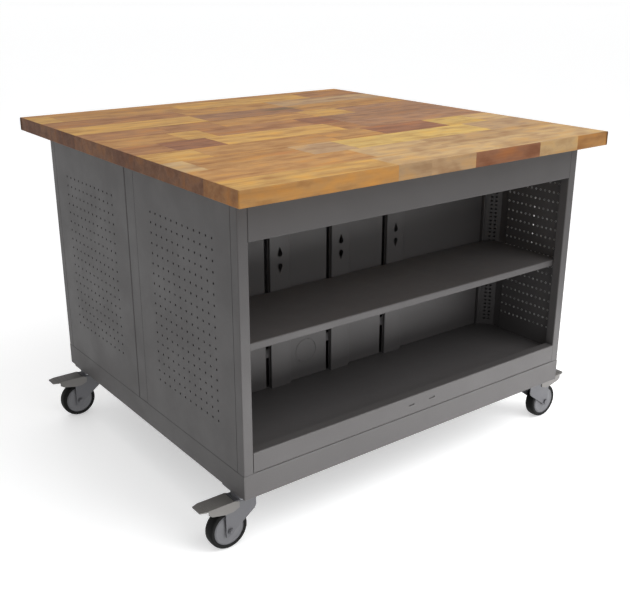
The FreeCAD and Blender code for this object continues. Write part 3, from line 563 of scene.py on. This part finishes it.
wood = oiled_butcher_block()
coat = fine_texture_powder_coat("fine_texture_powder_coat", "#434141", 0.46, 0.56)
caster_coat = fine_texture_powder_coat("caster_enamel", "#4a4a4d", 0.40, 0.52)
# The pedals wear the casters' own paint. This lighter copy of it is painted light, making up for the shade
# that falls under the bench.
pedal_painted_light_coat = fine_texture_powder_coat("caster_enamel_painted_lighter", "#5c5a58", 0.42, 0.54)
# The liner's hole rims are coloured pale: a painted highlight.
rim_painted_highlight = painted_highlight_hole_rim()
zinc = clear_zinc_plated_steel()
nylon = moulded_grey_nylon()
rubber = moulded_black_rubber()
finishes = {"butcher_block": wood, "grey_powder_coat": coat, "caster_paint": caster_coat,
            "zinc_plated_steel": zinc, "hub_nylon": nylon, "tyre_rubber": rubber}

slot_of = {part["node"]: part["material_slot"] for part in frame["record"]["subparts"]}
for node, shape in frame["nodes"].items():
    shape.data.materials.clear()
    shape.data.materials.append(finishes[slot_of[node]])

finish_piece(butcher_block_half("block_top_front", 0, SEAM), "bench", "butcher_block", wood, "top_slab_front")
finish_piece(butcher_block_half("block_top_rear", SEAM, TOP_DEEP), "bench", "butcher_block", wood,
             "top_slab_rear")

beads_tree = bead_field_tree()
for corner in CORNERS:
    low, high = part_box("side_panel_" + corner)
    face = low.x if "left" in corner else high.x
    rim_beads(beads_tree, "hole_beads_" + corner, "side_panel_" + corner, face, PANEL_FIRST,
              (PANEL_PITCH, PANEL_PITCH), (3.05, 0.22), "grey_powder_coat", coat)
    low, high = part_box("side_liner_" + corner)
    face = high.x if "left" in corner else low.x
    # The liner's rims carry the painted highlight.
    rim_beads(beads_tree, "liner_rims_" + corner, "side_liner_" + corner, face, LINER_FIRST,
              LINER_PITCH, (2.5, 0.6), "zinc_plated_steel", rim_painted_highlight)
    centre = wheel_centre(corner)
    wheel = "wheel_" + corner
    tyre = turned_shape("tyre_" + corner, mirrored_outline(TYRE_HALF), centre, 72)
    finish_piece(tyre, wheel, "tyre_rubber", rubber, f"caster_{corner}_tyre")
    hub = turned_shape("hub_" + corner, mirrored_outline(HUB_HALF), centre, 60)
    finish_piece(hub, wheel, "hub_nylon", nylon, f"caster_{corner}_hub")
    fork = softened(f"caster_{corner}_fork", "fork_" + corner, 0.7)
    finish_piece(fork, "swivel_" + corner, "caster_paint", caster_coat, f"caster_{corner}_fork")
    pedal = softened(f"caster_{corner}_pedal", "pedal_" + corner, 0.6)
    finish_piece(pedal, "brake_" + corner, "caster_paint", pedal_painted_light_coat, f"caster_{corner}_pedal")


# ---- studio

WORLD_STRENGTH = 0.69
FLOOR_REACH = 60.0


def studio_floor():
    mesh = bpy.data.meshes.new("studio_floor")
    corners = [(FLOOR_REACH * x, FLOOR_REACH * y, 0) for x, y in ((-1, -1), (1, -1), (1, 1), (-1, 1))]
    mesh.from_pydata(corners, [], [(0, 1, 2, 3)])
    floor = bpy.data.objects.new("studio_floor", mesh)
    bpy.context.scene.collection.objects.link(floor)
    mesh.materials.append(opal_sheet_floor())


def soft_light(name, place, target, size, power, spread_degrees=180):
    """A soft box that points at a spot. Its size is width and height in metres, its power is in watts."""
    light = bpy.data.lights.new(name, "AREA")
    light.shape = "RECTANGLE"
    light.size, light.size_y = size
    light.energy = power
    light.spread = math.radians(spread_degrees)
    lamp = bpy.data.objects.new(name, light)
    lamp.location = place
    lamp.rotation_euler = (Vector(target) - Vector(place)).to_track_quat("-Z", "Y").to_euler()
    lamp.visible_camera = False
    bpy.context.scene.collection.objects.link(lamp)


def studio_camera():
    camera = bpy.data.cameras.new("camera")
    camera.lens = 51.49
    camera.sensor_width = 36.0
    camera.clip_end = 200.0
    view = bpy.data.objects.new("camera", camera)
    right = Vector((0.79709, -0.60386, 0.00100))
    forward = Vector((0.56869, 0.75011, -0.33752))
    up = right.cross(forward)
    turn = Matrix((right, up, -forward)).transposed()
    view.matrix_world = Matrix.Translation((-1.5617, -2.1278, 1.3369)) @ turn.to_4x4()
    bpy.context.scene.collection.objects.link(view)
    bpy.context.scene.camera = view


def studio_world():
    world = bpy.data.worlds.new("studio_world")
    world.use_nodes = True
    background = world.node_tree.nodes["Background"]
    background.inputs["Color"].default_value = (1.0, 1.0, 1.0, 1.0)
    background.inputs["Strength"].default_value = WORLD_STRENGTH
    bpy.context.scene.world = world


studio_floor()
studio_camera()
studio_world()
soft_light("steep_top", (0.4, -1.35, 3.4), (0.1, -0.9, 0.3), (3.2, 1.5), 42.0)
soft_light("key", (1.2, -2.9, 3.0), (0.0, -0.5, 0.4), (2.4, 1.8), 57.0)
soft_light("fill", (0.6, -3.6, 1.1), (0.0, -0.5, 0.4), (2.0, 1.2), 6.6)
soft_light("floor_strip", (0.35, -1.3, 0.14), (0.1, -0.55, 0.14), (2.5, 0.26), 5.0, 70)
bpy.context.scene.view_settings.view_transform = "Standard"
